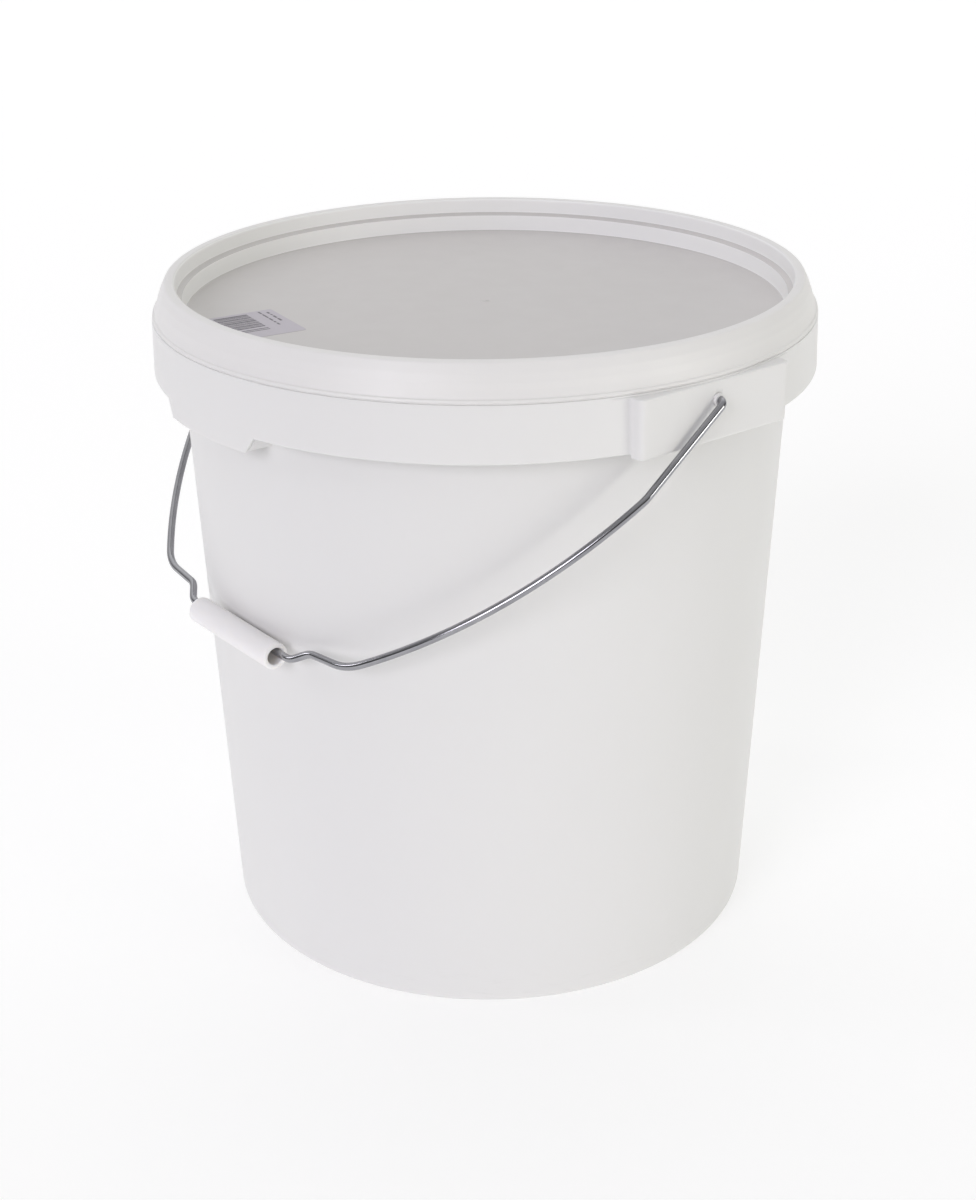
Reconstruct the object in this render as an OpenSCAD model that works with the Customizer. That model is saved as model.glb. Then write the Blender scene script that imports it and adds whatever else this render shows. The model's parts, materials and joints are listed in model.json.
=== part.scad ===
// Plastic fermenting bucket: tapered bucket with a collar, press-on lid, wire bail and tube grip.
// Millimetres. Z is up, the origin is the middle of the floor face, and the bail's pins lie along X.

/* [Bucket wall] */
// Outside radius of the wall at the floor
floor_r = 148.6; // [140:0.2:150]
// Outside radius of the wall just under the collar
wall_top_r = 162.6; // [161.8:0.1:163]
// Wall thickness
wall_t = 2; // [1.6:0.1:2.2]
// Radius of the foot's outer rounding
foot_round = 4; // [3:0.5:6]
// Height of the hollow under the floor plate
foot_h = 3; // [2:0.5:5]
// Thickness of the floor plate
floor_t = 2.2; // [1.8:0.1:3]

/* [Collar] */
// Height of the collar's upper face
collar_top = 343.9; // [343:0.1:344.2]
// Height of the collar's lower edge
collar_low = 315.4; // [305:0.2:325]
// Outside radius of the collar at its upper edge
collar_r = 175; // [174.6:0.1:175.2]
// How much wider the collar is at its lower edge
collar_flare = 0.9; // [0:0.1:0.9]
// Thickness of the collar's skirt and web
collar_t = 2; // [1.6:0.1:2.2]
// Number of stiffening ribs hidden under the collar
rib_count = 12; // [8:4:16]
// Thickness of one rib
rib_t = 1.6; // [1.2:0.1:2]
// Depth of one rib below the web
rib_h = 14; // [8:1:20]

/* [Tongues] */
// Height of the lower edge of the two pouring tongues
tongue_low = 307; // [304:0.5:312]
// Half width of a tongue at its lower edge
tongue_half_low = 33.6; // [25:0.2:36]
// Half width of a tongue where it leaves the collar
tongue_half_top = 39.9; // [37:0.1:42]

/* [Ears] */
// Distance of an ear's flat face from the middle plane
ear_face = 176.2; // [176.1:0.1:176.4]
// Half width of an ear's flat face
ear_half = 48; // [40:1:50]
// Height of an ear's lower edge
ear_low = 313.5; // [312:0.5:315]
// Height of an ear's upper edge
ear_top = 343; // [342:0.1:343.5]
// Height of the bail's pin axis
pin_z = 334; // [330:0.5:335]
// Radius of the hole for the bail's pin
ear_hole_r = 2.5; // [2.3:0.1:3]
// Outside radius of the boss around the hole
ear_boss_r = 6; // [5:0.5:7]

/* [Rim and lid] */
// Height of the bucket's rim
rim_top = 360; // [359.6:0.1:360.1]
// Height of the lid's crest
lid_top = 362.1; // [362:0.1:363]
// Height of the lid's panel
panel_z = 343.5; // [343:0.1:345]
// Thickness of the lid's panel
panel_t = 2; // [1.6:0.1:2.4]
// Radius of the lid's panel
panel_r = 158.2; // [150:0.1:158.4]
// Radius of the moulding gate's nub in the middle of the panel
gate_r = 1.5; // [1:0.1:2.5]

/* [Bail and grip] */
// Radius of the wire
wire_r = 2; // [1.5:0.1:2]
// Angle of the bail below the horizontal while it hangs on the wall
hang = 39.65; // [20:0.05:39.65]
// Where the pin's blunt end lies inside the ear
pin_end = 166.5; // [165:0.5:170]
// Distance of the bail's leg from the middle plane at the pin
leg_u = 181.2; // [180.8:0.1:184]
// Length of the grip
grip_len = 74; // [50:1:78]
// Outside radius of the grip
grip_r = 7.1; // [5.6:0.1:7.1]
// Radius of the grip's bore
grip_bore_r = 4.5; // [4.2:0.1:4.8]

/* [Label] */
// Size of the label along its short side
label_w = 38; // [20:1:40]
// Size of the label along its long side
label_l = 44.5; // [30:0.5:48]

/* [Hidden] */
$fn = 144;
eps = 0.01;

// The collar's web reaches from the wall to the skirt at this height.
web_low = collar_top - collar_t;
floor_top = foot_h + floor_t;
floor_round = 4;
chamfer = 0.6;

// The neck above the collar steps out to the rim, with a bead that the lid snaps over.
neck_r = 163.3;
neck_step = 349;
rim_step = 351.2;
bead_r = 169;
bead_low = 352.8;
bead_high = 354.2;
rim_in_r = 164.3;
rim_out_r = 166.2;

// The lid's plug stands inside the rim and its skirt outside.
lid_t = 1.7;
crest_in = 163.4;
crest_out = 166.3;
plug_r = 160.2;
ledge_z = 352.7;
ledge_out_z = 353.9;
ledge_in = 158.9;
ledge_out = 161.9;
knee_r = 171.4;
knee_z = 353;
flare_r = 174.8;
skirt_low = 344.5;

// The bail as a wire form from each pin to the middle: straight run, bend angle, bend radius.
leg_lean = 2.5;
pin_bend = 3.6;
wire_form = [
    [leg_u - pin_bend - pin_end, 90 + leg_lean, pin_bend],
    [54.4, 13.4, 20],
    [0, 34.5, 265],
    [0, 34, 30],
    [16.5, -35.3, 10],
    [5.5, 40.9, 9]
];
joint_gap = 0.05;
joint_proud = 0.02;
grip_slack = grip_bore_r - wire_r - 0.1;

// Where the label lies on the panel.
label_t = 0.15;
label_place = [-41.2, -117.8];
label_turn = -8;

// Point on the wall's outside at a height.
function wall_r(z) = floor_r + (wall_top_r - floor_r) * z / web_low;

// Points of an arc about c, from angle a to angle b.
function arc(c, r, a, b, n = 6) = [for (i = [0:n]) c + r * [cos(a + (b - a) * i / n), sin(a + (b - a) * i / n)]];

// The state [u, v, heading] at the end of one step of the wire form.
function run_end(s, run) = [s[0] + run * cos(s[2]), s[1] + run * sin(s[2]), s[2]];
function bend_end(s, a, r) =
    let (t = sign(a) * r)
    [s[0] + t * (sin(s[2] + a) - sin(s[2])), s[1] - t * (cos(s[2] + a) - cos(s[2])), s[2] + a];
function step_end(s, f) = bend_end(run_end(s, f[0]), f[1], f[2]);
function state(i) = i == 0 ? [pin_end, 0, 0] : step_end(state(i - 1), wire_form[i - 1]);
wire_last = state(len(wire_form));
grip_v = wire_last[1] + grip_slack;

// Outline of the bucket's wall, floor, foot, collar and rim.
module bucket_outline() {
    foot_in = floor_r - foot_round - 2;
    polygon(concat(
        [[0, foot_h], [foot_in - 0.5, foot_h], [foot_in, 0]],
        arc([wall_r(foot_round) - foot_round, foot_round], foot_round, -90, 0),
        [[wall_top_r, web_low], [collar_r - collar_t, web_low]],
        [[collar_r + collar_flare - collar_t, collar_low], [collar_r + collar_flare, collar_low + chamfer / 2]],
        [[collar_r, collar_top - chamfer], [collar_r - chamfer, collar_top], [neck_r, collar_top]],
        [[neck_r, neck_step], [rim_in_r + wall_t, rim_step], [bead_r, bead_low], [bead_r, bead_high]],
        [[rim_out_r, rim_top - chamfer], [rim_out_r - chamfer, rim_top], [rim_in_r + chamfer, rim_top]],
        [[rim_in_r, rim_top - chamfer], [rim_in_r, rim_step + 0.3], [neck_r - wall_t, neck_step + 0.3]],
        [[wall_top_r - wall_t, web_low]],
        arc([wall_r(floor_top) - wall_t - floor_round, floor_top + floor_round], floor_round, 0, -90),
        [[0, floor_top]]
    ));
}

// A ring between the wall and the skirt's outside, from one height to another.
module under_collar(low, high) {
    difference() {
        translate([0, 0, low]) cylinder(h = high - low, r = collar_r + collar_flare - collar_t / 2);
        translate([0, 0, low - eps])
            cylinder(h = high - low + 2 * eps, r1 = wall_r(low) - wall_t / 2, r2 = wall_r(high) - wall_t / 2);
    }
}

// A tongue's front shape, standing on the -Y side and narrowed by inset.
module tongue_front(inset) {
    rotate([90, 0, 0]) linear_extrude(height = collar_r + 10)
        polygon([
            [-tongue_half_low + inset, tongue_low - (inset > 0 ? 1 : 0)],
            [tongue_half_low - inset, tongue_low - (inset > 0 ? 1 : 0)],
            [tongue_half_top - inset, collar_low],
            [tongue_half_top - inset, web_low + eps],
            [-tongue_half_top + inset, web_low + eps],
            [-tongue_half_top + inset, collar_low]
        ]);
}

// The collar drawn down into a tongue, with a web at each end of it.
module tongue() {
    intersection() {
        difference() {
            translate([0, 0, tongue_low]) cylinder(h = collar_low - tongue_low + 1, r = collar_r + collar_flare);
            translate([0, 0, tongue_low - 1])
                cylinder(h = collar_low - tongue_low + 3, r = collar_r + collar_flare - collar_t);
        }
        tongue_front(0);
    }
    difference() {
        intersection() {
            under_collar(tongue_low, web_low + eps);
            tongue_front(0);
        }
        tongue_front(collar_t);
    }
}

// An ear on the +X side: a flat face standing proud of the collar, hollow behind, with a bored boss.
module ear() {
    depth = ear_face - 166.8;
    translate([ear_face - collar_t, -ear_half, ear_low]) cube([collar_t, 2 * ear_half, ear_top - ear_low]);
    for (s = [0, 1]) mirror([0, s, 0])
        translate([ear_face - depth, ear_half - collar_t, ear_low]) cube([depth, collar_t, web_low - ear_low + eps]);
    translate([ear_face - depth, -ear_half, web_low - 0.9]) cube([depth, 2 * ear_half, ear_top - web_low + 0.9]);
    translate([pin_end, 0, pin_z]) rotate([0, 90, 0]) cylinder(h = ear_face - pin_end - 1, r = ear_boss_r);
    for (s = [-1, 1]) translate([wall_r(pin_z) - 1, s * (ear_boss_r - rib_t / 2) - rib_t / 2, pin_z])
        cube([ear_face - wall_r(pin_z), rib_t, web_low - pin_z + eps]);
}

module ribs() {
    intersection() {
        under_collar(web_low - rib_h, web_low + eps);
        for (i = [0:rib_count - 1]) rotate([0, 0, (i + 0.5) * 360 / rib_count])
            translate([0, -rib_t / 2, 0]) cube([collar_r, rib_t, collar_top]);
    }
}

module bucket() {
    color("whitesmoke") difference() {
        union() {
            difference() {
                rotate_extrude() bucket_outline();
                for (s = [0, 1]) mirror([s, 0, 0])
                    translate([wall_top_r + 3, collar_t - ear_half, collar_low - 1])
                        cube([20, 2 * (ear_half - collar_t), web_low - collar_low + 1]);
            }
            for (s = [0, 1]) mirror([s, 0, 0]) ear();
            for (s = [0, 1]) mirror([0, s, 0]) tongue();
            ribs();
        }
        translate([-200, 0, pin_z]) rotate([0, 90, 0]) cylinder(h = 200 - pin_end + 0.5, r = ear_hole_r);
        translate([pin_end - 0.5, 0, pin_z]) rotate([0, 90, 0]) cylinder(h = 200 - pin_end, r = ear_hole_r);
    }
}

// Outline of the lid: panel, plug with its ledge, crest, and skirt flared to a rounded edge.
module lid_outline() {
    edge_r = 0.9;
    polygon(concat(
        [[0, panel_z - panel_t], [plug_r - 1.5, panel_z - panel_t], [plug_r, panel_z - 0.5]],
        [[plug_r + 0.3, ledge_z - lid_t], [ledge_out + lid_t, ledge_z], [crest_in + 0.5, lid_top - lid_t]],
        [[crest_out + 0.1, lid_top - lid_t], [knee_r - lid_t, knee_z], [knee_r - 1.1, knee_z - 2.6]],
        [[knee_r - 2, knee_z - 3.6], [knee_r - 2, knee_z - 4.2], [knee_r - 0.2, knee_z - 5.6]],
        arc([flare_r - edge_r, skirt_low + edge_r], edge_r, -100, 30),
        [[knee_r + 1.9, knee_z - 5.8], [knee_r + 0.8, knee_z - 3], [knee_r, knee_z], [knee_r - 1.5, knee_z + 4]],
        arc([crest_out - 0.3, lid_top - 2], 2, 25, 90, 4),
        arc([crest_in, lid_top - 1.2], 1.2, 90, 180, 4),
        [[ledge_out, ledge_out_z], [ledge_in, ledge_z], [panel_r, panel_z + 1], [panel_r - 1, panel_z], [0, panel_z]]
    ));
}

module lid() {
    color("white") {
        rotate_extrude() lid_outline();
        translate([0, 0, panel_z - eps]) cylinder(h = 0.6 + eps, r = gate_r);
    }
}

module label() {
    color("lavender") translate([label_place[0], label_place[1], panel_z])
        rotate([0, 0, label_turn])
            translate([-label_l / 2, -label_w / 2, 0]) cube([label_l, label_w, label_t]);
}

// One bend of the wire, starting at the origin and heading along X.
module wire_bend(a, r) {
    gap = asin(joint_gap / r);
    mirror([0, a < 0 ? 1 : 0, 0]) translate([0, r, 0]) rotate([0, 0, gap - 90])
        rotate_extrude(angle = abs(a) - 2 * gap) translate([r, 0]) circle(r = wire_r, $fn = 48);
}

// A straight run of the wire from the origin along X, with a gap at either end.
module wire_run(length, start_gap = joint_gap) {
    if (length > 0) translate([start_gap, 0, 0]) rotate([0, 90, 0])
        cylinder(h = length - start_gap - joint_gap, r = wire_r, $fn = 48);
}

// A short sleeve, a little proud of the wire, joins each step of the form to the next.
module wire_joint(s) {
    translate([s[0], s[1], 0]) rotate([0, 0, s[2]]) rotate([0, 90, 0])
        cylinder(h = 6 * joint_gap, r = wire_r + joint_proud, center = true, $fn = 48);
}

// Half of the bail in its own plane: u along X and v away from the pins.
module wire_half() {
    for (i = [0:len(wire_form) - 1]) {
        run = wire_form[i][0];
        s = state(i);
        m = run_end(s, run);
        translate([s[0], s[1], 0]) rotate([0, 0, s[2]]) wire_run(run, i == 0 ? 0 : joint_gap);
        translate([m[0], m[1], 0]) rotate([0, 0, m[2]]) wire_bend(wire_form[i][1], wire_form[i][2]);
        if (i > 0) wire_joint(s);
        if (run > 0) wire_joint(m);
    }
    wire_joint([wire_last[0], wire_last[1], 0]);
}

// Lays the bail's plane down so that it hangs on the -Y side of the wall.
module hung() {
    translate([0, 0, pin_z]) rotate([180 + hang, 0, 0]) children();
}

module bail_wire() {
    color("silver") hung() {
        for (s = [0, 1]) mirror([s, 0, 0]) wire_half();
        translate([-wire_last[0], wire_last[1], 0]) wire_run(2 * wire_last[0]);
    }
}

module grip() {
    round_r = 1;
    color("white") hung() translate([-grip_len / 2, grip_v, 0]) rotate([0, 90, 0]) rotate_extrude($fn = 72)
        polygon(concat(
            [[grip_bore_r, 0]],
            arc([grip_r - round_r, round_r], round_r, -90, 0, 3),
            arc([grip_r - round_r, grip_len - round_r], round_r, 0, 90, 3),
            [[grip_bore_r, grip_len]]
        ));
}

bucket();
lid();
label();
bail_wire();
grip();
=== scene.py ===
"""A white plastic fermenting bucket: tapered bucket, press-on lid with a label, wire bail and tube grip.

Lengths in the outlines are millimetres, as in the CAD part, and everything built from them is metres.
"""
import json
import math

import bmesh
import bpy
from mathutils import Matrix, Vector


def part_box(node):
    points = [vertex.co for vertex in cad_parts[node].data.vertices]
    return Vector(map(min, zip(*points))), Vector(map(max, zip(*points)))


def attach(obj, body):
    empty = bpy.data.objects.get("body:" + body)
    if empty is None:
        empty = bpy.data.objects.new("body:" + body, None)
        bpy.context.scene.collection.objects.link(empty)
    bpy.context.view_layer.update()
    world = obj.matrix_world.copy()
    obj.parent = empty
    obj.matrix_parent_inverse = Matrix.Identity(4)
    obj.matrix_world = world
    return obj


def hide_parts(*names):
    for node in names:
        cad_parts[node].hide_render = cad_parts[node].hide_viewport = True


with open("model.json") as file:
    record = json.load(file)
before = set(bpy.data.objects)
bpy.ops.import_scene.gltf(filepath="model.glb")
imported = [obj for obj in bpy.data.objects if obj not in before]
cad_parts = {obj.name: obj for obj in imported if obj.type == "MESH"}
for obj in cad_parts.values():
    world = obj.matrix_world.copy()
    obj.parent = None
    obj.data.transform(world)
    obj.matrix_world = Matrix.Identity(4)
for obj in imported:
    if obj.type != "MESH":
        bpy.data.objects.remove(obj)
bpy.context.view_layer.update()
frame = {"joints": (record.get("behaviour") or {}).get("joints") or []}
MM = 0.001

# ---------------------------------------------------------------- sizes, from the CAD frame where it has them


def box_mm(node):
    """The two corners of a CAD node's box in millimetres."""
    low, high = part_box(node)
    return low / MM, high / MM


JOINTS = {joint["name"]: joint for joint in frame["joints"]}
BUCKET_HIGH = box_mm("bucket")[1]
LID_HIGH = box_mm("lid")[1]
GRIP_LOW, GRIP_HIGH = box_mm("grip")
LABEL_LOW, LABEL_HIGH = box_mm("label")

PIN_Z = JOINTS["bail_swing"]["pos_m"][2] / MM
GRIP_AXIS = Vector(JOINTS["grip_spin"]["pos_m"]) / MM
HANG = math.degrees(math.atan2(PIN_Z - GRIP_AXIS.z, -GRIP_AXIS.y))

FLOOR_R = 148.6
WALL_TOP_R = 162.6
WALL_T = 2.0
EAR_FACE = BUCKET_HIGH.x
RIM_TOP = BUCKET_HIGH.z
SKIRT_LOW_R = BUCKET_HIGH.y
SKIRT_TOP_R = SKIRT_LOW_R - 0.9
SKIRT_T = 2.0
COLLAR_TOP = 343.9
COLLAR_LOW = 315.4
WEB_LOW = COLLAR_TOP - SKIRT_T
EAR_TOP = 343.0
EAR_LOW = 313.5
EAR_HALF = 48.0
EAR_CORNER = 3.0
FACE_STEPS = 12
ROOT_FILLET = 1.3
TONGUE_LOW = 307.0
TONGUE_HALF_LOW = 33.6
TONGUE_HALF_TOP = 39.9
HOLE_R = 2.5
BOSS_R = 6.0
PIN_END = 166.5
RIB_T = 1.6

LID_TOP = LID_HIGH.z
LID_EDGE = 343.95
FLARE_R = LID_HIGH.x
PANEL_Z = LABEL_LOW.z

WIRE_R = 2.0
GRIP_R = (GRIP_HIGH.z - GRIP_LOW.z) / 2
GRIP_LEN = GRIP_HIGH.x - GRIP_LOW.x
GRIP_BORE_R = 4.5

# The azimuth that the camera looks from, round from the grip's side, in degrees.
VIEW_AROUND = 52

# ---------------------------------------------------------------- mesh helpers


def filleted(corners, steps=6, support=0.5):
    """An outline's (r, z) points from (r, z, fillet) corners.

    Each fillet is an arc with a support point at either end.
    """
    points = []
    for i, (r, z, fillet) in enumerate(corners):
        here = Vector((r, z))
        if not fillet or i in (0, len(corners) - 1):
            points.append(here)
            continue
        back = Vector(corners[i - 1][:2]) - here
        ahead = Vector(corners[i + 1][:2]) - here
        u, v = back.normalized(), ahead.normalized()
        angle = u.angle(v)
        cut = fillet / math.tan(angle / 2)
        centre = here + (u + v).normalized() * fillet / math.sin(angle / 2)
        first, last = here + u * cut - centre, here + v * cut - centre
        turn = first.angle_signed(last)
        if cut + support < back.length:
            points.append(here + u * (cut + support))
        for k in range(steps + 1):
            points.append(centre + Matrix.Rotation(-turn * k / steps, 2) @ first)
        if cut + support < ahead.length:
            points.append(here + v * (cut + support))
    return points


def grid_mesh(name, rows, close_rows=False, material=None):
    """A mesh from rows of points, each row a closed ring of the same length."""
    mesh = bpy.data.meshes.new(name)
    work = bmesh.new()
    made = [[work.verts.new(p) for p in row] for row in rows]
    count = len(rows[0])
    pairs = list(zip(made, made[1:]))
    if close_rows:
        pairs.append((made[-1], made[0]))
    for lower, upper in pairs:
        for i in range(count):
            j = (i + 1) % count
            work.faces.new((lower[i], lower[j], upper[j], upper[i]))
    bmesh.ops.remove_doubles(work, verts=work.verts, dist=1e-7)
    bmesh.ops.dissolve_degenerate(work, dist=1e-8, edges=work.edges)
    bmesh.ops.recalc_face_normals(work, faces=work.faces)
    for face in work.faces:
        face.smooth = True
    work.to_mesh(mesh)
    work.free()
    thing = bpy.data.objects.new(name, mesh)
    bpy.context.scene.collection.objects.link(thing)
    if material:
        mesh.materials.append(material)
    return thing


def lathe_rows(outline, angles):
    """Rings of an outline in millimetres turned about Z."""
    return [[Vector((p[0] * math.cos(a), p[0] * math.sin(a), p[1])) * MM for a in angles] for p in outline]


def ring(count):
    return [2 * math.pi * i / count for i in range(count)]


def sharpen(thing, degrees=38):
    """Marks the edges that are sharper than this, so that smooth shading stops at them."""
    work = bmesh.new()
    work.from_mesh(thing.data)
    for edge in work.edges:
        if len(edge.link_faces) == 2:
            edge.smooth = edge.calc_face_angle(0) < math.radians(degrees)
    for face in work.faces:
        face.smooth = True
    work.to_mesh(thing.data)
    work.free()


def prism(work, near, far):
    """A closed solid in a bmesh between two outlines of the same length, in millimetres."""
    a = [work.verts.new(Vector(p) * MM) for p in near]
    b = [work.verts.new(Vector(p) * MM) for p in far]
    work.faces.new(a)
    work.faces.new(b[::-1])
    for i in range(len(a)):
        j = (i + 1) % len(a)
        work.faces.new((a[j], a[i], b[i], b[j]))


def bmesh_object(name, work, material=None):
    bmesh.ops.recalc_face_normals(work, faces=work.faces)
    mesh = bpy.data.meshes.new(name)
    work.to_mesh(mesh)
    work.free()
    thing = bpy.data.objects.new(name, mesh)
    bpy.context.scene.collection.objects.link(thing)
    if material:
        mesh.materials.append(material)
    return thing


def combine(thing, other, operation):
    """Applies an exact boolean with another object, which is then removed."""
    step = thing.modifiers.new(operation, "BOOLEAN")
    step.operation, step.solver, step.object = operation, "EXACT", other
    step.use_self = operation == "UNION"
    evaluated = thing.evaluated_get(bpy.context.evaluated_depsgraph_get())
    mesh = bpy.data.meshes.new_from_object(evaluated)
    thing.modifiers.clear()
    old, thing.data = thing.data, mesh
    mesh.name = thing.name
    bpy.data.meshes.remove(old)
    bpy.data.objects.remove(other)


def x_cylinder(work, z, stations, count=48):
    """A closed solid about an axis along X at height z, from (x, radius) stations."""
    loops = []
    for x, radius in stations:
        loops.append([work.verts.new(Vector((x, radius * math.cos(a), z + radius * math.sin(a))) * MM)
                      for a in ring(count)])
    work.faces.new(loops[0])
    work.faces.new(loops[-1][::-1])
    for lower, upper in zip(loops, loops[1:]):
        for i in range(count):
            j = (i + 1) % count
            work.faces.new((lower[j], lower[i], upper[i], upper[j]))


# ---------------------------------------------------------------- materials


class Nodes:
    """Short calls for building one material's node tree."""

    def __init__(self, name):
        self.material = bpy.data.materials.new(name)
        self.material.use_nodes = True
        self.tree = self.material.node_tree
        self.tree.nodes.clear()
        self.out = self.tree.nodes.new("ShaderNodeOutputMaterial")
        self.shader = self.tree.nodes.new("ShaderNodeBsdfPrincipled")
        self.link(self.shader.outputs[0], self.out.inputs[0])
        self.place = self.tree.nodes.new("ShaderNodeTexCoord")

    def link(self, a, b):
        self.tree.links.new(a, b)

    def set(self, **values):
        for key, value in values.items():
            self.shader.inputs[key.replace("_", " ")].default_value = value

    def noise(self, scale, detail=2.0, stretch=(1, 1, 1), source="Object", roughness=0.5):
        mapping = self.tree.nodes.new("ShaderNodeMapping")
        mapping.inputs["Scale"].default_value = stretch
        node = self.tree.nodes.new("ShaderNodeTexNoise")
        node.inputs["Scale"].default_value = scale
        node.inputs["Detail"].default_value = detail
        node.inputs["Roughness"].default_value = roughness
        self.link(self.place.outputs[source], mapping.inputs[0])
        self.link(mapping.outputs[0], node.inputs["Vector"])
        return node.outputs["Fac"]

    def remap(self, value, low, high, from_low=0.3, from_high=0.7):
        node = self.tree.nodes.new("ShaderNodeMapRange")
        node.inputs["From Min"].default_value = from_low
        node.inputs["From Max"].default_value = from_high
        node.inputs["To Min"].default_value = low
        node.inputs["To Max"].default_value = high
        self.link(value, node.inputs["Value"])
        return node.outputs[0]

    def math(self, operation, a, b):
        node = self.tree.nodes.new("ShaderNodeMath")
        node.operation = operation
        for socket, value in zip(node.inputs, (a, b)):
            if isinstance(value, (int, float)):
                socket.default_value = value
            else:
                self.link(value, socket)
        return node.outputs[0]

    def mix(self, factor, a, b):
        """Mixes two colours, each a tuple or another mix's output."""
        node = self.tree.nodes.new("ShaderNodeMix")
        node.data_type = "RGBA"
        self.link(factor, node.inputs["Factor"])
        for socket, value in zip((node.inputs[6], node.inputs[7]), (a, b)):
            if isinstance(value, tuple):
                socket.default_value = (*value, 1)
            else:
                self.link(value, socket)
        return node.outputs[2]

    def height(self):
        """The object's own height coordinate in metres."""
        node = self.tree.nodes.new("ShaderNodeSeparateXYZ")
        self.link(self.place.outputs["Object"], node.inputs[0])
        return node.outputs["Z"]

    def bump(self, *layers):
        """Stacks (value, distance in metres) layers of bump into the shader's normal."""
        last = None
        for value, distance in layers:
            node = self.tree.nodes.new("ShaderNodeBump")
            node.inputs["Strength"].default_value = 1.0
            node.inputs["Distance"].default_value = distance
            self.link(value, node.inputs["Height"])
            if last:
                self.link(last, node.inputs["Normal"])
            last = node.outputs[0]
        self.link(last, self.shader.inputs["Normal"])


def moulded_plastic(name, tone, roughness, subsurface, scuffs=0.0):
    """White moulded polypropylene: faint flow clouding, orange-peel texture, and scuffs near the foot."""
    n = Nodes(name)
    n.set(Subsurface_Weight=subsurface, Subsurface_Scale=0.004, Subsurface_Radius=(1.0, 0.95, 0.85))
    n.set(IOR=1.49, Coat_Weight=0.0)
    cloud = n.remap(n.noise(5.0, 3.0, (1, 1, 0.5)), 0, 1)
    shade = tuple(c * 0.972 for c in tone)
    colour = n.mix(cloud, shade, tone)
    rough = n.remap(n.noise(60.0, 4.0, (1, 1, 0.3)), roughness - 0.04, roughness + 0.05)
    if scuffs:
        near_foot = n.remap(n.height(), 1, 0, 0.002, 0.03)
        marks = n.remap(n.noise(240.0, 6.0, (0.25, 0.25, 1.6), roughness=0.75), 0, 1, 0.56, 0.66)
        wear = n.math("MULTIPLY", n.math("MULTIPLY", near_foot, marks), scuffs)
        colour = n.mix(wear, colour, (0.50, 0.49, 0.47))
    n.link(colour, n.shader.inputs["Base Color"])
    n.link(rough, n.shader.inputs["Roughness"])
    n.bump((n.noise(9.0, 1.0), 0.0005), (n.noise(900.0, 2.0), 0.00001))
    return n.material


def zinc_wire():
    """Bright zinc-plated drawn wire: fine lines along its length and a slightly clouded plating."""
    n = Nodes("zinc_wire")
    n.set(Metallic=1.0)
    lines = n.noise(1.0, 4.0, (18, 900, 1), source="UV", roughness=0.65)
    cloud = n.remap(n.noise(90.0, 4.0), 0, 1)
    n.link(n.mix(cloud, (0.30, 0.30, 0.32), (0.38, 0.38, 0.40)), n.shader.inputs["Base Color"])
    n.link(n.remap(lines, 0.09, 0.16), n.shader.inputs["Roughness"])
    n.bump((lines, 0.000006))
    return n.material


def paper(name, tone, grain):
    """Coated label paper, or the grey print on it."""
    n = Nodes(name)
    n.set(IOR=1.45)
    fibre = n.remap(n.noise(1400.0, 3.0), 0, 1)
    n.link(n.mix(fibre, tuple(c * (1 - grain) for c in tone), tone), n.shader.inputs["Base Color"])
    n.link(n.remap(n.noise(300.0, 2.0), 0.42, 0.55), n.shader.inputs["Roughness"])
    n.bump((n.noise(1200.0, 2.0), 0.000008))
    return n.material


BODY_PLASTIC = moulded_plastic("bucket_plastic", (0.785, 0.78, 0.775), 0.42, 0.10, scuffs=0.10)
LID_PLASTIC = moulded_plastic("lid_plastic", (0.82, 0.81, 0.80), 0.44, 0.10)
# Painted shade: the lid's panel and ledge get a darker copy of the lid plastic, standing in for the shaded
# inside of the bucket seen through the thin panel.
PANEL_PAINTED_SHADE = moulded_plastic("lid_panel_painted_shade", (0.615, 0.595, 0.585), 0.36, 0.10)
# Painted light: the inward-facing plug wall gets a lighter copy of the lid plastic, standing in for backlight
# shining through the wall.
PLUG_PAINTED_LIGHT = moulded_plastic("lid_plug_painted_light", (0.93, 0.93, 0.92), 0.40, 0.10)
GRIP_PLASTIC = moulded_plastic("grip_plastic", (0.90, 0.88, 0.88), 0.42, 0.50)
PAPER = paper("label_paper", (0.54, 0.51, 0.56), 0.03)
PRINT = paper("label_print", (0.17, 0.16, 0.18), 0.15)

# ---------------------------------------------------------------- bucket


def wall_r(z):
    return FLOOR_R + (WALL_TOP_R - FLOOR_R) * z / WEB_LOW


def skirt_r(z):
    return SKIRT_LOW_R + (SKIRT_TOP_R - SKIRT_LOW_R) * (z - COLLAR_LOW) / (COLLAR_TOP - COLLAR_LOW)


def ear_contour(radius):
    """The ear's (point, normal) outline over a quarter turn, from the middle of its face to the collar."""
    points = []
    inner = EAR_HALF - EAR_CORNER
    for k in range(FACE_STEPS):
        points.append((Vector((EAR_FACE, inner * k / FACE_STEPS)), Vector((1, 0))))
    for k in range(9):
        a = math.radians(90 * k / 8)
        n = Vector((math.cos(a), math.sin(a)))
        points.append((Vector((EAR_FACE - EAR_CORNER, inner)) + n * EAR_CORNER, n))
    root = Vector((math.sqrt(radius ** 2 - EAR_HALF ** 2), EAR_HALF))
    start = root + Vector((ROOT_FILLET, 0))
    turn = math.atan2(root.y, root.x) + ROOT_FILLET / radius
    end = Vector((math.cos(turn), math.sin(turn))) * radius
    points.append(((points[-1][0] + start) / 2, Vector((0, 1))))
    for k in range(7):
        t = k / 6
        p = start * (1 - t) ** 2 + root * 2 * t * (1 - t) + end * t ** 2
        n = Vector((0, 1)).lerp(end.normalized(), t).normalized()
        points.append((p, n))
    return points


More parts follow.
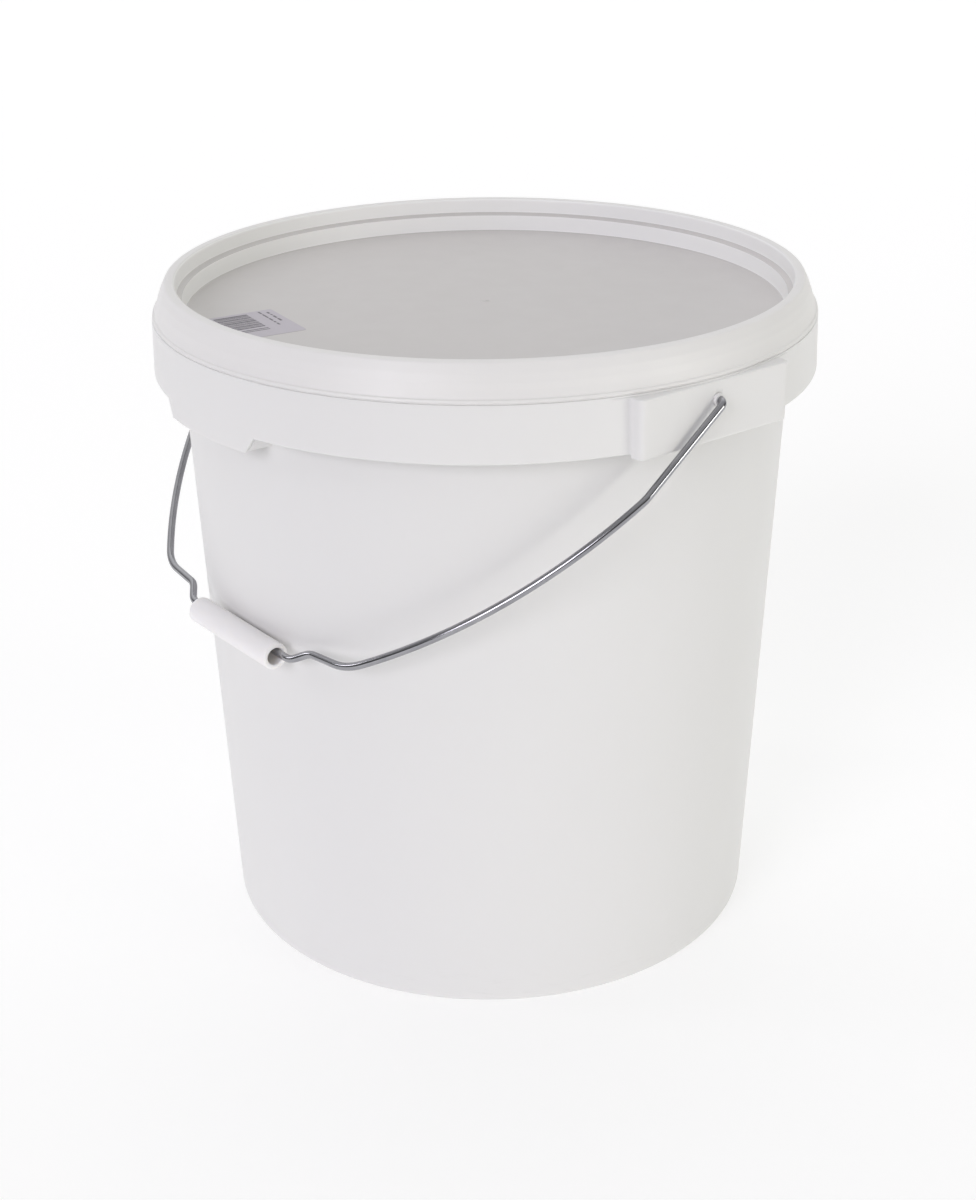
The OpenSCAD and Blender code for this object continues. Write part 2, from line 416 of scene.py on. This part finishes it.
def quarter_columns():
    """The bucket mesh's columns from +X to +Y: (angle, ear index or None, lower edge)."""
    columns = []
    ear_points = len(ear_contour(SKIRT_TOP_R))
    inner = EAR_HALF - EAR_CORNER
    flat = math.asin(inner * (FACE_STEPS - 1) / FACE_STEPS / SKIRT_TOP_R)
    last = math.asin(EAR_HALF / SKIRT_TOP_R) + ROOT_FILLET / SKIRT_TOP_R
    for k in range(ear_points):
        if k < FACE_STEPS:
            angle = math.asin(inner * k / FACE_STEPS / SKIRT_TOP_R)
        else:
            angle = flat + (last - flat) * (k - FACE_STEPS + 1) / (ear_points - FACE_STEPS)
        low = EAR_LOW if k < ear_points - 4 else COLLAR_LOW
        columns.append((angle, k, low))
    top = math.pi / 2 - math.asin(TONGUE_HALF_TOP / SKIRT_LOW_R)
    bottom = math.pi / 2 - math.asin(TONGUE_HALF_LOW / SKIRT_LOW_R)
    steps = 24
    for k in range(1, steps + 1):
        columns.append((last + (top - 0.01 - last) * k / steps, None, COLLAR_LOW))
    for k in range(9):
        angle = top + (bottom - top) * k / 8
        columns.append((angle, None, COLLAR_LOW + (TONGUE_LOW - COLLAR_LOW) * k / 8))
    for k in range(1, 7):
        columns.append((bottom + (math.pi / 2 - bottom) * k / 6, None, TONGUE_LOW))
    return columns


def all_columns():
    """The quarter's columns mirrored round the whole turn: (angle, ear index, lower edge, x sign, y sign)."""
    quarter = quarter_columns()
    full = [(a, k, low, 1, 1) for a, k, low in quarter]
    full += [(math.pi - a, k, low, -1, 1) for a, k, low in quarter[-2::-1]]
    full += [(math.pi + a, k, low, -1, -1) for a, k, low in quarter[1:]]
    full += [(2 * math.pi - a, k, low, 1, -1) for a, k, low in quarter[-2:0:-1]]
    return full


def skirt_row(columns, height, inset, stand=1.0, ear_inset=None):
    """One ring of the skirt. height maps a column's lower edge to z.

    stand is 1 where the ring follows the ears' faces and 0 where it runs round behind them.
    """
    row = []
    contours = {}
    for angle, k, low, sx, sy in columns:
        z = height(low)
        radius = skirt_r(z)
        around = Vector((math.cos(angle), math.sin(angle)))
        p = around * (radius - inset)
        if k is not None and stand > 0:
            key = round(radius, 4)
            if key not in contours:
                contours[key] = ear_contour(radius)
            q, n = contours[key][k]
            q = q - n * (inset if ear_inset is None else ear_inset)
            q = Vector((q.x * sx, q.y * sy))
            p = p.lerp(q, stand)
        row.append(Vector((p.x, p.y, z)) * MM)
    return row


def skirt_rows(columns):
    """The skirt from under the web, down its inside, round its lower edge and up its outside."""
    rows = []
    quarter = [math.radians(90 * k / 4) for k in range(5)]
    for a in quarter:
        rows.append(skirt_row(columns, lambda low: WEB_LOW - 1.0 + math.cos(a),
                              SKIRT_T + 1.0 - math.sin(a)))
    edge = SKIRT_T / 2 - 0.1
    for t in (0.3, 0.6, 0.85, 0.97):
        rows.append(skirt_row(columns, lambda low: (WEB_LOW - 1.0) * (1 - t) + (low + edge) * t, SKIRT_T))
    for k in range(9):
        a = math.radians(180 * k / 8)
        rows.append(skirt_row(columns, lambda low: low + edge * (1 - math.sin(a)),
                              SKIRT_T / 2 + (SKIRT_T / 2) * math.cos(a)))
    ear_round = 0.8
    for t in (0.03, 0.15, 0.4, 0.7, 0.9):
        rows.append(skirt_row(columns, lambda low: (low + edge) * (1 - t) + (EAR_TOP - ear_round) * t, 0))
    for k in range(6):
        a = math.radians(90 * k / 5)
        rows.append(skirt_row(columns, lambda low: EAR_TOP - ear_round * (1 - math.sin(a)), 0,
                              ear_inset=ear_round * (1 - math.cos(a))))
    for stand, rise in ((0.5, 0.05), (0.08, 0.1), (0.0, 0.15)):
        rows.append(skirt_row(columns, lambda low: EAR_TOP + rise, 0, stand, ear_inset=ear_round))
    top_round = 0.35
    for k in range(5):
        a = math.radians(90 * k / 4)
        rows.append(skirt_row(columns, lambda low: COLLAR_TOP - top_round * (1 - math.sin(a)),
                              top_round * (1 - math.cos(a)), 0))
    return rows


def under_features():
    """Under the collar: ear bosses with gussets, the tongues' end webs and the stiffening ribs."""
    work = bmesh.new()
    top = WEB_LOW + 0.7
    for sx in (1, -1):
        x_cylinder(work, PIN_Z, [(sx * PIN_END, BOSS_R), (sx * (EAR_FACE - 1), BOSS_R)])
        for sy in (1, -1):
            y0, y1 = sy * (BOSS_R - RIB_T - 0.1), sy * (BOSS_R - 0.1)
            x0, x1 = sx * (wall_r(PIN_Z) - 1), sx * (EAR_FACE - 1)
            outline = [(x0, PIN_Z), (x1, PIN_Z), (x1, top), (x0, top)]
            prism(work, [(x, y0, z) for x, z in outline], [(x, y1, z) for x, z in outline])
    for sy in (1, -1):
        for sx in (1, -1):
            front = [(TONGUE_HALF_LOW, TONGUE_LOW + 0.6), (TONGUE_HALF_TOP, COLLAR_LOW),
                     (TONGUE_HALF_TOP, top), (TONGUE_HALF_TOP - SKIRT_T, top),
                     (TONGUE_HALF_TOP - SKIRT_T, COLLAR_LOW + 0.5),
                     (TONGUE_HALF_LOW - SKIRT_T, TONGUE_LOW + 0.6)]
            outer = [(sx * x, sy * math.sqrt((SKIRT_TOP_R - 0.8) ** 2 - x * x), z) for x, z in front]
            inner = [(sx * x, sy * math.sqrt((wall_r(z) - 1) ** 2 - x * x), z) for x, z in front]
            prism(work, outer, inner)
    for i in range(12):
        turn = Matrix.Rotation(math.radians(15 + 30 * i), 3, "Z")
        low = WEB_LOW - 14
        outer_r, inner_r = SKIRT_TOP_R - 1.2, wall_r(low) - 1
        outline = [(inner_r, low), (outer_r, low + 4), (outer_r, top), (inner_r, top)]
        near = [turn @ Vector((r, -RIB_T / 2, z)) for r, z in outline]
        far = [turn @ Vector((r, RIB_T / 2, z)) for r, z in outline]
        prism(work, near, far)
    return bmesh_object("under_features", work)


def ear_bores():
    """The cutters for the two pin holes, flared a little at the ear's face."""
    work = bmesh.new()
    for sx in (1, -1):
        stations = [(PIN_END - 0.7, HOLE_R), (EAR_FACE - 0.5, HOLE_R), (EAR_FACE - 0.15, HOLE_R + 0.12),
                    (EAR_FACE + 0.02, HOLE_R + 0.45), (EAR_FACE + 2, HOLE_R + 0.45)]
        x_cylinder(work, PIN_Z, [(sx * x, r) for x, r in stations])
    return bmesh_object("ear_bores", work)


def make_bucket():
    """One moulding: floor, foot, tapered wall, collar with ears and tongues, neck and rim."""
    columns = all_columns()
    angles = [c[0] for c in columns]
    foot = [(0, 3, 0), (60, 3, 0), (120, 3, 0), (139.5, 3, 0.8), (142.0, 0.0, 0.4), (FLOOR_R, 0.0, 4.2),
            (wall_r(60), 60, 0)]
    wall = [(wall_r(z), z) for z in (100, 150, 200, 250, 290, 320, 335, 340)]
    web = [(wall_r(WEB_LOW - 0.5), WEB_LOW - 0.5), (WALL_TOP_R + 0.4, WEB_LOW)]
    neck = [(SKIRT_TOP_R - 0.6, COLLAR_TOP, 0), (163.3, COLLAR_TOP, 0.8), (163.3, 349, 0.8),
            (166.3, 351.2, 0.5), (169, 352.8, 0.5), (169, 354.2, 0.6), (166.2, 359.2, 0.4),
            (165.6, RIM_TOP, 0.5), (164.8, RIM_TOP, 0.4), (164.3, 359.3, 0.4), (164.3, 351.5, 0.6),
            (161.3, 349.3, 0.6), (wall_r(300) - WALL_T, 300, 0)]
    inside = [(wall_r(z) - WALL_T, z) for z in (240, 180, 120, 60, 20)]
    floor = [(wall_r(20) - WALL_T, 20, 0), (wall_r(5) - WALL_T, 5.2, 4.5), (90, 5.2, 0), (40, 5.2, 0),
             (0, 5.2, 0)]
    rows = lathe_rows(filleted(foot) + [Vector(p) for p in wall + web], angles)
    rows += skirt_rows(columns)
    rows += lathe_rows(filleted(neck)[1:] + [Vector(p) for p in inside] + filleted(floor)[1:], angles)
    bucket = grid_mesh("bucket_shell", rows, material=BODY_PLASTIC)
    combine(bucket, under_features(), "UNION")
    combine(bucket, ear_bores(), "DIFFERENCE")
    sharpen(bucket)
    return bucket


# ---------------------------------------------------------------- lid


def make_lid():
    """The press-on lid: recessed panel with a gate mark, plug wall with a ledge, crest, and flared skirt."""
    top, low = LID_TOP, LID_EDGE
    knee = 9.1
    outline = [
        (0, PANEL_Z - 2, 0), (60, PANEL_Z - 2, 0), (120, PANEL_Z - 2, 0), (160.1, PANEL_Z - 2, 1.5),
        (160.5, 351.0, 0.6), (163.6, 352.7, 0.8), (163.9, top - 1.7, 0.5), (166.4, top - 1.7, 0.8),
        (169.7, top - knee, 1.5), (170.3, top - knee - 2.6, 0.3), (169.4, top - knee - 3.6, 0.4),
        (169.4, top - knee - 4.2, 0.4), (171.2, top - knee - 5.6, 0.8), (173.0, low + 0.02, 0.3),
        (FLARE_R - 0.1, low, 0.3), (FLARE_R, low + 0.95, 0.35), (FLARE_R - 0.35, low + 1.85, 0.3),
        (173.65, low + 2.3, 0.3), (172.3, 350.0, 5.0), (171.4, top - knee, 5.0), (169.9, 357.0, 8.0),
        (167.4, top - 0.2, 1.6),
        (162.25, top, 1.5), (161.9, 353.9, 0.9), (158.9, 352.7, 0.7), (158.3, PANEL_Z, 1.0),
        (150, PANEL_Z, 0), (103, PANEL_Z, 0)]
    points = filleted(outline, support=0.35)
    for radius, dip in ((100.5, 0.02), (98.5, 0.05), (96.5, 0.02), (94, 0), (60, 0), (20, 0), (5, -0.06),
                        (3.2, -0.12)):
        points.append(Vector((radius, PANEL_Z - dip)))
    for radius, rise in ((1.7, 0.12), (1.5, 0.35), (1.2, 0.55), (0.6, 0.6), (0, 0.6)):
        points.append(Vector((radius, PANEL_Z + rise)))
    lid = grid_mesh("lid_shell", lathe_rows(points, ring(288)), material=LID_PLASTIC)
    lid.data.materials.append(PANEL_PAINTED_SHADE)
    lid.data.materials.append(PLUG_PAINTED_LIGHT)
    for face in lid.data.polygons:
        across, height = face.center.xy.length, face.center.z / MM
        inward = -face.normal.xy.dot(face.center.xy) / max(across, MM)
        # Up-facing faces of the panel and ledge take the darker panel material: painted shade.
        if face.normal.z > 0.5 and across / MM < 161.9 and height < 355:
            face.material_index = 1
        # Inward-facing faces of the plug wall take the lighter plug material: painted light.
        elif inward > 0.5 and across / MM < 163 and PANEL_Z < height < LID_TOP - 0.5:
            face.material_index = 2
    sharpen(lid, 50)
    return lid


# ---------------------------------------------------------------- label


def make_label():
    """The sticker on the panel, with plain grey bars where such stickers are printed."""
    long_side, short_side, thick = 44.5, 38.0, 0.12
    turn = Matrix.Rotation(math.radians(-8), 3, "Z")
    centre = Vector(((LABEL_LOW.x + LABEL_HIGH.x) / 2, (LABEL_LOW.y + LABEL_HIGH.y) / 2, PANEL_Z))
    corner = 1.5

    def at(u, v, lift):
        """A point on the label: u along its long side, v from its inner edge, lift above the panel."""
        return centre + turn @ Vector((u - long_side / 2, short_side / 2 - v, lift))

    outline = []
    for i, (cu, cv) in enumerate(((long_side - corner, short_side - corner), (corner, short_side - corner),
                                  (corner, corner), (long_side - corner, corner))):
        for k in range(6):
            a = math.radians(90 * i + 90 * k / 5)
            outline.append((cu + corner * math.cos(a), cv + corner * math.sin(a)))
    work = bmesh.new()
    prism(work, [at(u, v, 0.01) for u, v in outline], [at(u, v, thick) for u, v in outline])
    label = bmesh_object("label_sheet", work, PAPER)

    bars = [(u, u + run, 3.4, 4.7) for u, run in ((4.5, 3.2), (9.3, 1.6), (12.2, 4.4), (18.0, 4.8))]
    bars += [(u, u + run, 7.4, 8.5)
             for u, run in ((2.0, 4.2), (7.2, 7.6), (15.8, 4.8), (21.9, 2.6), (25.6, 3.4))]
    for u, run in ((3.0, 2.0), (5.5, 1.2), (7.4, 0.6), (8.6, 1.6), (10.9, 0.6), (12.3, 1.3), (14.4, 2.0),
                   (17.1, 0.6), (18.5, 1.2), (20.4, 0.6), (21.8, 1.7), (24.2, 1.0), (26.0, 1.7), (30.4, 1.2),
                   (32.8, 1.0)):
        bars.append((u, u + run, 15.2, 34.0))
    marks = bmesh.new()
    for u0, u1, v0, v1 in bars:
        quad = [(u0, v0), (u1, v0), (u1, v1), (u0, v1)]
        prism(marks, [at(a, b, thick - 0.01) for a, b in quad], [at(a, b, thick + 0.015) for a, b in quad])
    print_piece = bmesh_object("label_print", marks, PRINT)
    return label, print_piece


# ---------------------------------------------------------------- bail wire and grip

# Straight run, bend angle and bend radius of each step from the pin's end to the middle, as in part.scad.
LEG_U = 181.2
LEG_LEAN = 2.5
PIN_BEND = 3.6
WIRE_FORM = [(LEG_U - PIN_BEND - PIN_END, 90 + LEG_LEAN, PIN_BEND), (54.4, 13.4, 20), (0, 34.5, 265),
             (0, 34, 30), (16.5, -35.3, 10), (5.5, 40.9, 9)]


def wire_path():
    """Points (u, v) along half of the bail, from the pin's end to where the middle's straight run begins."""
    p, heading = Vector((PIN_END, 0)), 0.0
    points = [p.copy()]
    for run, bend, radius in WIRE_FORM:
        ahead = Vector((math.cos(heading), math.sin(heading)))
        pieces = max(1, round(run / 3)) if run else 0
        for k in range(pieces):
            points.append(p + ahead * run * (k + 1) / pieces)
        p = p + ahead * run
        angle = math.radians(bend)
        t = math.copysign(radius, angle)
        centre = p + Vector((-math.sin(heading), math.cos(heading))) * t
        steps = max(6, round(abs(angle) * radius / 2.5))
        for k in range(1, steps + 1):
            a = heading + angle * k / steps
            points.append(centre + Vector((math.sin(a), -math.cos(a))) * t)
        heading += angle
        p = points[-1].copy()
    return points


def hung(u, v, w=0.0):
    """A point of the bail's own plane where it hangs on the wall, in millimetres."""
    a = math.radians(HANG)
    return Vector((u, -v * math.cos(a) + w * math.sin(a), PIN_Z - v * math.sin(a) - w * math.cos(a)))


def make_wire():
    """The bail: one drawn wire with rounded ends."""
    half = wire_path()
    path = half + [Vector((-p.x, p.y)) for p in half[::-1]]
    count = 20
    rows, lengths, travelled = [], [], 0.0
    for i, p in enumerate(path):
        ahead = (path[min(i + 1, len(path) - 1)] - path[max(i - 1, 0)]).normalized()
        side = Vector((-ahead.y, ahead.x))
        if i:
            travelled += (p - path[i - 1]).length
        stations = [(0.0, WIRE_R)]
        if i == 0:
            stations = [(0.0, 0.0), (0.0, WIRE_R * 0.8), (0.15, WIRE_R * 0.95), (0.5, WIRE_R)]
        elif i == len(path) - 1:
            stations = [(-0.5, WIRE_R), (-0.15, WIRE_R * 0.95), (0.0, WIRE_R * 0.8), (0.0, 0.0)]
        for shift, radius in stations:
            c = p + ahead * shift
            row = []
            for a in ring(count):
                q = c + side * radius * math.cos(a)
                row.append(hung(q.x, q.y, radius * math.sin(a)) * MM)
            rows.append(row)
            lengths.append(travelled + shift)
    wire = grid_mesh("bail_wire_drawn", rows, material=zinc_wire())
    return wire, path


def add_wire_uv(wire, path):
    """UV with metres along the wire and turns round it, for the drawing lines in its material."""
    layer = wire.data.uv_layers.new(name="UVMap")
    marks, total = [], 0.0
    for a, b in zip(path, path[1:]):
        marks.append((a, b, total))
        total += (b - a).length
    angle = math.radians(HANG)
    out = Vector((0, -math.cos(angle), -math.sin(angle)))
    across = Vector((0, math.sin(angle), -math.cos(angle)))
    cache = {}
    for vertex in wire.data.vertices:
        q = vertex.co / MM - Vector((0, 0, PIN_Z))
        flat, w = Vector((q.x, q.dot(out))), q.dot(across)
        best = min(marks, key=lambda m: ((m[0] + m[1]) / 2 - flat).length_squared)
        a, b, before = best
        ahead = (b - a).normalized()
        along = before + (flat - a).dot(ahead)
        side = (flat - a).dot(Vector((-ahead.y, ahead.x)))
        cache[vertex.index] = (along * MM, abs(math.atan2(w, side)) / math.pi * 0.01)
    for loop in wire.data.loops:
        layer.data[loop.index].uv = cache[loop.vertex_index]


def make_grip():
    """The plain tube: rounded ends, open bore, and two faint parting lines."""
    half, ro, ri = GRIP_LEN / 2, GRIP_R - 0.05, GRIP_BORE_R
    outer = filleted([(ri + 0.5, -half, 0), (ro, -half, 1.1), (ro, half, 1.1), (ri + 0.5, half, 0)], 6, 0.5)
    bore = filleted([(ri + 0.5, half, 0), (ri, half - 0.5, 0.4), (ri, -half + 0.5, 0.4),
                     (ri + 0.5, -half, 0)], 3, 0.3)
    profile = outer + bore[1:-1]
    angles = []
    for side in (0, math.pi):
        angles += [side + math.radians(d) for d in (-1.6, -0.8, 0, 0.8, 1.6)]
        angles += [side + math.radians(d) for d in range(7, 174, 6)]
    angles.sort()
    tilt = math.radians(62)
    rows = []
    for i, p in enumerate(profile):
        row = []
        for a in angles:
            near = abs(math.degrees(math.sin(a)))
            seam = 0.05 * max(0, 1 - near / 1.2) if i < len(outer) else 0
            r = p.x + seam
            row.append((GRIP_AXIS + Vector((p.y, r * math.cos(a + tilt), r * math.sin(a + tilt)))) * MM)
        rows.append(row)
    return grid_mesh("grip_tube", rows, close_rows=True, material=GRIP_PLASTIC)


# ---------------------------------------------------------------- studio


def make_camera():
    """The photograph's viewing angle: 52 degrees round from the grip's side and 24 degrees down."""
    around, down, roll = math.radians(VIEW_AROUND), math.radians(24.3), -0.0102
    distance, height = 1.0013, 0.6213
    forward = Vector((-math.sin(around) * math.cos(down), math.cos(around) * math.cos(down), -math.sin(down)))
    right = forward.cross(Vector((0, 0, 1))).normalized()
    up = right.cross(forward)
    right, up = right * math.cos(roll) + up * math.sin(roll), up * math.cos(roll) - right * math.sin(roll)
    data = bpy.data.cameras.new("camera")
    data.lens = 57.95
    data.sensor_width = 36
    camera = bpy.data.objects.new("camera", data)
    place = Matrix((right, up, -forward)).transposed().to_4x4()
    place.translation = Vector((math.sin(around) * distance, -math.cos(around) * distance, height))
    camera.matrix_world = place
    bpy.context.scene.collection.objects.link(camera)
    bpy.context.scene.camera = camera


def soft_light(name, azimuth, elevation, spread, strength, colour):
    """A soft studio light from far off. spread is how wide it looks, in degrees."""
    data = bpy.data.lights.new(name, "SUN")
    data.angle = math.radians(spread)
    data.energy = strength
    data.color = colour
    light = bpy.data.objects.new(name, data)
    a, e = math.radians(azimuth), math.radians(elevation)
    light.location = Vector((math.sin(a) * math.cos(e), -math.cos(a) * math.cos(e), math.sin(e))) * 1.5
    light.rotation_mode = "QUATERNION"
    light.rotation_quaternion = light.location.to_track_quat("Z", "Y")
    bpy.context.scene.collection.objects.link(light)


def make_world(dim, overhead, backdrop):
    """Studio surroundings: dim at the sides, lighter overhead, and bright behind the bucket."""
    world = bpy.data.worlds.new("studio")
    world.use_nodes = True
    tree = world.node_tree
    background = tree.nodes["Background"]
    place = tree.nodes.new("ShaderNodeTexCoord")

    def toward(azimuth, elevation, far, near, low, high):
        """A level that goes from low, far degrees off this direction, to high, near degrees off it."""
        a, e = math.radians(azimuth), math.radians(elevation)
        dot = tree.nodes.new("ShaderNodeVectorMath")
        dot.operation = "DOT_PRODUCT"
        toward_it = (math.sin(a) * math.cos(e), -math.cos(a) * math.cos(e), math.sin(e))
        dot.inputs[1].default_value = toward_it
        ramp = tree.nodes.new("ShaderNodeMapRange")
        ramp.interpolation_type = "SMOOTHSTEP"
        ramp.inputs["From Min"].default_value = math.cos(math.radians(far))
        ramp.inputs["From Max"].default_value = math.cos(math.radians(near))
        ramp.inputs["To Min"].default_value, ramp.inputs["To Max"].default_value = low, high
        tree.links.new(place.outputs["Generated"], dot.inputs[0])
        tree.links.new(dot.outputs["Value"], ramp.inputs["Value"])
        return ramp.outputs[0]

    total = tree.nodes.new("ShaderNodeMath")
    total.operation = "ADD"
    tree.links.new(toward(0, 90, 80, 20, dim, overhead), total.inputs[0])
    tree.links.new(toward(VIEW_AROUND + 180, 15, 80, 35, 0.0, backdrop), total.inputs[1])
    tree.links.new(total.outputs[0], background.inputs["Strength"])
    background.inputs["Color"].default_value = (1.0, 1.0, 1.0, 1)
    bpy.context.scene.world = world


def make_floor():
    """A plain pale floor that glows a little, as a lit studio table does."""
    mesh = bpy.data.meshes.new("floor")
    size = 6.0
    corners = [(-size, -size, 0), (size, -size, 0), (size, size, 0), (-size, size, 0)]
    mesh.from_pydata(corners, [], [(0, 1, 2, 3)])
    floor = bpy.data.objects.new("floor", mesh)
    bpy.context.scene.collection.objects.link(floor)
    n = Nodes("pale_floor")
    n.set(Roughness=0.6, Base_Color=(0.55, 0.55, 0.55, 1))
    n.set(Emission_Color=(1, 1, 1, 1), Emission_Strength=0.50)
    mesh.materials.append(n.material)


scene = bpy.context.scene
scene.view_settings.view_transform = "Standard"
scene.view_settings.look = "None"

make_camera()
make_world(0.12, 0.62, 0.65)
soft_light("left_key", VIEW_AROUND - 32, 22, 28, 1.10, (0.955, 0.925, 1.0))
soft_light("right_key", VIEW_AROUND + 64, 6, 26, 0.76, (1.0, 0.985, 0.88))
soft_light("right_strip", VIEW_AROUND + 50, 6, 9, 0.14, (1.0, 1.0, 0.97))
soft_light("upper_left", VIEW_AROUND - 95, 27, 14, 0.20, (0.97, 0.95, 1.0))
make_floor()

bucket = make_bucket()
lid = make_lid()
label, label_print = make_label()
wire, route = make_wire()
add_wire_uv(wire, route)
grip = make_grip()

for piece, body, node, slot in (
    (bucket, "bucket", "bucket", "bucket_plastic"),
    (lid, "lid", "lid", "lid_plastic"),
    (label, "lid", "label", "label_paper"),
    (label_print, "lid", None, "label_paper"),
    (wire, "bail", "bail_wire", "galvanised_wire"),
    (grip, "grip", "grip", "grip_plastic"),
):
    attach(piece, body)
    if node:
        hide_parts(node)
